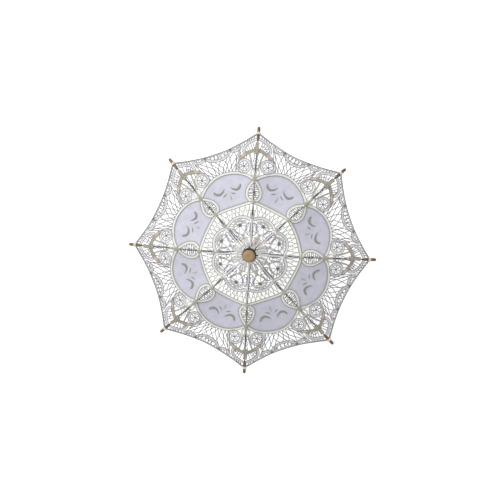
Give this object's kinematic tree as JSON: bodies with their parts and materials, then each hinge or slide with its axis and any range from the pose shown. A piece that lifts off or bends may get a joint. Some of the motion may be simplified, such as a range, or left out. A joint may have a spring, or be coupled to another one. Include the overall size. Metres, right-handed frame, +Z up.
{
  "type": "lace parasol",
  "caption": "Small open lace parasol on a turned wooden stick, with a folding ribbed frame, sliding runner, scalloped hem and wooden rib tips.",
  "frame": {"origin": "middle of the handle's foot, on the axis of the stick", "axes": "+Z up the stick to the finial, +X along rib 1, ribs every 45 degrees about +Z"},
  "size_m": [0.3806, 0.3806, 0.31],
  "materials": {
    "pale_wood": "satin varnish",
    "turned_wood": "satin varnish",
    "tip_wood": "satin varnish",
    "steel_wire": "drawn wire",
    "nickel": "nickel plate",
    "dark_metal": "satin black",
    "lace": "cotton tape lace and thin cloth"
  },
  "bodies": {
    "stick": {"shaft": "pale_wood", "handle_grip": "turned_wood", "handle_foot": "turned_wood", "finial": "turned_wood", "crown_washer": "dark_metal", "top_notch": "nickel", "notch_wire": "steel_wire", "stop_pin": "nickel"},
    "runner": {"runner": "nickel", "runner_wire": "steel_wire"},
    "catch": {"spring_catch": "nickel"},
    "rib_1": {"rib_1": "steel_wire", "rib_tip_1": "tip_wood"},
    "stretcher_1": {"stretcher_1": "steel_wire", "joint_rivet_1": "nickel"},
    "rib_2": {"rib_2": "steel_wire", "rib_tip_2": "tip_wood"},
    "stretcher_2": {"stretcher_2": "steel_wire", "joint_rivet_2": "nickel"},
    "rib_3": {"rib_3": "steel_wire", "rib_tip_3": "tip_wood"},
    "stretcher_3": {"stretcher_3": "steel_wire", "joint_rivet_3": "nickel"},
    "rib_4": {"rib_4": "steel_wire", "rib_tip_4": "tip_wood"},
    "stretcher_4": {"stretcher_4": "steel_wire", "joint_rivet_4": "nickel"},
    "rib_5": {"rib_5": "steel_wire", "rib_tip_5": "tip_wood"},
    "stretcher_5": {"stretcher_5": "steel_wire", "joint_rivet_5": "nickel"},
    "rib_6": {"rib_6": "steel_wire", "rib_tip_6": "tip_wood"},
    "stretcher_6": {"stretcher_6": "steel_wire", "joint_rivet_6": "nickel"},
    "rib_7": {"rib_7": "steel_wire", "rib_tip_7": "tip_wood"},
    "stretcher_7": {"stretcher_7": "steel_wire", "joint_rivet_7": "nickel"},
    "rib_8": {"rib_8": "steel_wire", "rib_tip_8": "tip_wood"},
    "stretcher_8": {"stretcher_8": "steel_wire", "joint_rivet_8": "nickel"},
    "half_gore_1a": {"gore_1a": "lace"},
    "half_gore_1b": {"gore_1b": "lace"},
    "half_gore_2a": {"gore_2a": "lace"},
    "half_gore_2b": {"gore_2b": "lace"},
    "half_gore_3a": {"gore_3a": "lace"},
    "half_gore_3b": {"gore_3b": "lace"},
    "half_gore_4a": {"gore_4a": "lace"},
    "half_gore_4b": {"gore_4b": "lace"},
    "half_gore_5a": {"gore_5a": "lace"},
    "half_gore_5b": {"gore_5b": "lace"},
    "half_gore_6a": {"gore_6a": "lace"},
    "half_gore_6b": {"gore_6b": "lace"},
    "half_gore_7a": {"gore_7a": "lace"},
    "half_gore_7b": {"gore_7b": "lace"},
    "half_gore_8a": {"gore_8a": "lace"},
    "half_gore_8b": {"gore_8b": "lace"}
  },
  "joints": [
    {"name": "fold_1", "type": "hinge", "parent": "stick", "child": "rib_1", "pos_m": [0.0095, 0, 0.283], "axis": [0, 1, 0], "range_deg": [0, 66], "deforming": ["spring_catch"]},
    {"name": "stretcher_joint_1", "type": "hinge", "parent": "rib_1", "child": "stretcher_1", "pos_m": [0.09054, 0, 0.25779], "axis": [0, 1, 0], "range_deg": [-132, 0]},
    {"name": "fold_2", "type": "hinge", "parent": "stick", "child": "rib_2", "pos_m": [0.00672, 0.00672, 0.283], "axis": [-0.7071, 0.7071, 0], "range_deg": [0, 66]},
    {"name": "stretcher_joint_2", "type": "hinge", "parent": "rib_2", "child": "stretcher_2", "pos_m": [0.06402, 0.06402, 0.25779], "axis": [-0.7071, 0.7071, 0], "range_deg": [-132, 0]},
    {"name": "fold_3", "type": "hinge", "parent": "stick", "child": "rib_3", "pos_m": [0, 0.0095, 0.283], "axis": [-1, 0, 0], "range_deg": [0, 66]},
    {"name": "stretcher_joint_3", "type": "hinge", "parent": "rib_3", "child": "stretcher_3", "pos_m": [0, 0.09054, 0.25779], "axis": [-1, 0, 0], "range_deg": [-132, 0]},
    {"name": "fold_4", "type": "hinge", "parent": "stick", "child": "rib_4", "pos_m": [-0.00672, 0.00672, 0.283], "axis": [-0.7071, -0.7071, 0], "range_deg": [0, 66]},
    {"name": "stretcher_joint_4", "type": "hinge", "parent": "rib_4", "child": "stretcher_4", "pos_m": [-0.06402, 0.06402, 0.25779], "axis": [-0.7071, -0.7071, 0], "range_deg": [-132, 0]},
    {"name": "fold_5", "type": "hinge", "parent": "stick", "child": "rib_5", "pos_m": [-0.0095, 0, 0.283], "axis": [0, -1, 0], "range_deg": [0, 66]},
    {"name": "stretcher_joint_5", "type": "hinge", "parent": "rib_5", "child": "stretcher_5", "pos_m": [-0.09054, 0, 0.25779], "axis": [0, -1, 0], "range_deg": [-132, 0]},
    {"name": "fold_6", "type": "hinge", "parent": "stick", "child": "rib_6", "pos_m": [-0.00672, -0.00672, 0.283], "axis": [0.7071, -0.7071, 0], "range_deg": [0, 66]},
    {"name": "stretcher_joint_6", "type": "hinge", "parent": "rib_6", "child": "stretcher_6", "pos_m": [-0.06402, -0.06402, 0.25779], "axis": [0.7071, -0.7071, 0], "range_deg": [-132, 0]},
    {"name": "fold_7", "type": "hinge", "parent": "stick", "child": "rib_7", "pos_m": [0, -0.0095, 0.283], "axis": [1, 0, 0], "range_deg": [0, 66]},
    {"name": "stretcher_joint_7", "type": "hinge", "parent": "rib_7", "child": "stretcher_7", "pos_m": [0, -0.09054, 0.25779], "axis": [1, 0, 0], "range_deg": [-132, 0]},
    {"name": "fold_8", "type": "hinge", "parent": "stick", "child": "rib_8", "pos_m": [0.00672, -0.00672, 0.283], "axis": [0.7071, 0.7071, 0], "range_deg": [0, 66]},
    {"name": "stretcher_joint_8", "type": "hinge", "parent": "rib_8", "child": "stretcher_8", "pos_m": [0.06402, -0.06402, 0.25779], "axis": [0.7071, 0.7071, 0], "range_deg": [-132, 0]},
    {"name": "runner_pivot", "type": "hinge", "parent": "stretcher_1", "child": "runner", "pos_m": [0.0095, 0, 0.23258], "axis": [0, 1, 0], "range_deg": [0, 66]},
    {"name": "pleat_1a", "type": "hinge", "parent": "rib_1", "child": "half_gore_1a", "pos_m": [0.01201, 0, 0.29007], "axis": [0.9316, 0, -0.3635], "range_deg": [0, 69.3]},
    {"name": "pleat_1b", "type": "hinge", "parent": "rib_2", "child": "half_gore_1b", "pos_m": [0.00849, 0.00849, 0.29007], "axis": [0.6587, 0.6587, -0.3635], "range_deg": [-69.3, 0]},
    {"name": "pleat_2a", "type": "hinge", "parent": "rib_2", "child": "half_gore_2a", "pos_m": [0.00849, 0.00849, 0.29007], "axis": [0.6587, 0.6587, -0.3635], "range_deg": [0, 69.3]},
    {"name": "pleat_2b", "type": "hinge", "parent": "rib_3", "child": "half_gore_2b", "pos_m": [0, 0.01201, 0.29007], "axis": [0, 0.9316, -0.3635], "range_deg": [-69.3, 0]},
    {"name": "pleat_3a", "type": "hinge", "parent": "rib_3", "child": "half_gore_3a", "pos_m": [0, 0.01201, 0.29007], "axis": [0, 0.9316, -0.3635], "range_deg": [0, 69.3]},
    {"name": "pleat_3b", "type": "hinge", "parent": "rib_4", "child": "half_gore_3b", "pos_m": [-0.00849, 0.00849, 0.29007], "axis": [-0.6587, 0.6587, -0.3635], "range_deg": [-69.3, 0]},
    {"name": "pleat_4a", "type": "hinge", "parent": "rib_4", "child": "half_gore_4a", "pos_m": [-0.00849, 0.00849, 0.29007], "axis": [-0.6587, 0.6587, -0.3635], "range_deg": [0, 69.3]},
    {"name": "pleat_4b", "type": "hinge", "parent": "rib_5", "child": "half_gore_4b", "pos_m": [-0.01201, 0, 0.29007], "axis": [-0.9316, 0, -0.3635], "range_deg": [-69.3, 0]},
    {"name": "pleat_5a", "type": "hinge", "parent": "rib_5", "child": "half_gore_5a", "pos_m": [-0.01201, 0, 0.29007], "axis": [-0.9316, 0, -0.3635], "range_deg": [0, 69.3]},
    {"name": "pleat_5b", "type": "hinge", "parent": "rib_6", "child": "half_gore_5b", "pos_m": [-0.00849, -0.00849, 0.29007], "axis": [-0.6587, -0.6587, -0.3635], "range_deg": [-69.3, 0]},
    {"name": "pleat_6a", "type": "hinge", "parent": "rib_6", "child": "half_gore_6a", "pos_m": [-0.00849, -0.00849, 0.29007], "axis": [-0.6587, -0.6587, -0.3635], "range_deg": [0, 69.3]},
    {"name": "pleat_6b", "type": "hinge", "parent": "rib_7", "child": "half_gore_6b", "pos_m": [0, -0.01201, 0.29007], "axis": [0, -0.9316, -0.3635], "range_deg": [-69.3, 0]},
    {"name": "pleat_7a", "type": "hinge", "parent": "rib_7", "child": "half_gore_7a", "pos_m": [0, -0.01201, 0.29007], "axis": [0, -0.9316, -0.3635], "range_deg": [0, 69.3]},
    {"name": "pleat_7b", "type": "hinge", "parent": "rib_8", "child": "half_gore_7b", "pos_m": [0.00849, -0.00849, 0.29007], "axis": [0.6587, -0.6587, -0.3635], "range_deg": [-69.3, 0]},
    {"name": "pleat_8a", "type": "hinge", "parent": "rib_8", "child": "half_gore_8a", "pos_m": [0.00849, -0.00849, 0.29007], "axis": [0.6587, -0.6587, -0.3635], "range_deg": [0, 69.3]},
    {"name": "pleat_8b", "type": "hinge", "parent": "rib_1", "child": "half_gore_8b", "pos_m": [0.01201, 0, 0.29007], "axis": [0.9316, 0, -0.3635], "range_deg": [-69.3, 0]},
    {"name": "catch_press", "type": "slide", "parent": "stick", "child": "catch", "axis": [-0.9239, -0.3827, 0], "range_m": [0, 0.0024], "stiffness_N_per_m": 300}
  ],
  "couplings": [
    {"joint": "stretcher_joint_1", "follows": "fold_1", "ratio": -2},
    {"joint": "fold_2", "follows": "fold_1", "ratio": 1},
    {"joint": "stretcher_joint_2", "follows": "fold_1", "ratio": -2},
    {"joint": "fold_3", "follows": "fold_1", "ratio": 1},
    {"joint": "stretcher_joint_3", "follows": "fold_1", "ratio": -2},
    {"joint": "fold_4", "follows": "fold_1", "ratio": 1},
    {"joint": "stretcher_joint_4", "follows": "fold_1", "ratio": -2},
    {"joint": "fold_5", "follows": "fold_1", "ratio": 1},
    {"joint": "stretcher_joint_5", "follows": "fold_1", "ratio": -2},
    {"joint": "fold_6", "follows": "fold_1", "ratio": 1},
    {"joint": "stretcher_joint_6", "follows": "fold_1", "ratio": -2},
    {"joint": "fold_7", "follows": "fold_1", "ratio": 1},
    {"joint": "stretcher_joint_7", "follows": "fold_1", "ratio": -2},
    {"joint": "fold_8", "follows": "fold_1", "ratio": 1},
    {"joint": "stretcher_joint_8", "follows": "fold_1", "ratio": -2},
    {"joint": "runner_pivot", "follows": "fold_1", "ratio": 1},
    {"joint": "pleat_1a", "follows": "fold_1", "ratio": 1.05},
    {"joint": "pleat_1b", "follows": "fold_1", "ratio": -1.05},
    {"joint": "pleat_2a", "follows": "fold_1", "ratio": 1.05},
    {"joint": "pleat_2b", "follows": "fold_1", "ratio": -1.05},
    {"joint": "pleat_3a", "follows": "fold_1", "ratio": 1.05},
    {"joint": "pleat_3b", "follows": "fold_1", "ratio": -1.05},
    {"joint": "pleat_4a", "follows": "fold_1", "ratio": 1.05},
    {"joint": "pleat_4b", "follows": "fold_1", "ratio": -1.05},
    {"joint": "pleat_5a", "follows": "fold_1", "ratio": 1.05},
    {"joint": "pleat_5b", "follows": "fold_1", "ratio": -1.05},
    {"joint": "pleat_6a", "follows": "fold_1", "ratio": 1.05},
    {"joint": "pleat_6b", "follows": "fold_1", "ratio": -1.05},
    {"joint": "pleat_7a", "follows": "fold_1", "ratio": 1.05},
    {"joint": "pleat_7b", "follows": "fold_1", "ratio": -1.05},
    {"joint": "pleat_8a", "follows": "fold_1", "ratio": 1.05},
    {"joint": "pleat_8b", "follows": "fold_1", "ratio": -1.05}
  ]
}
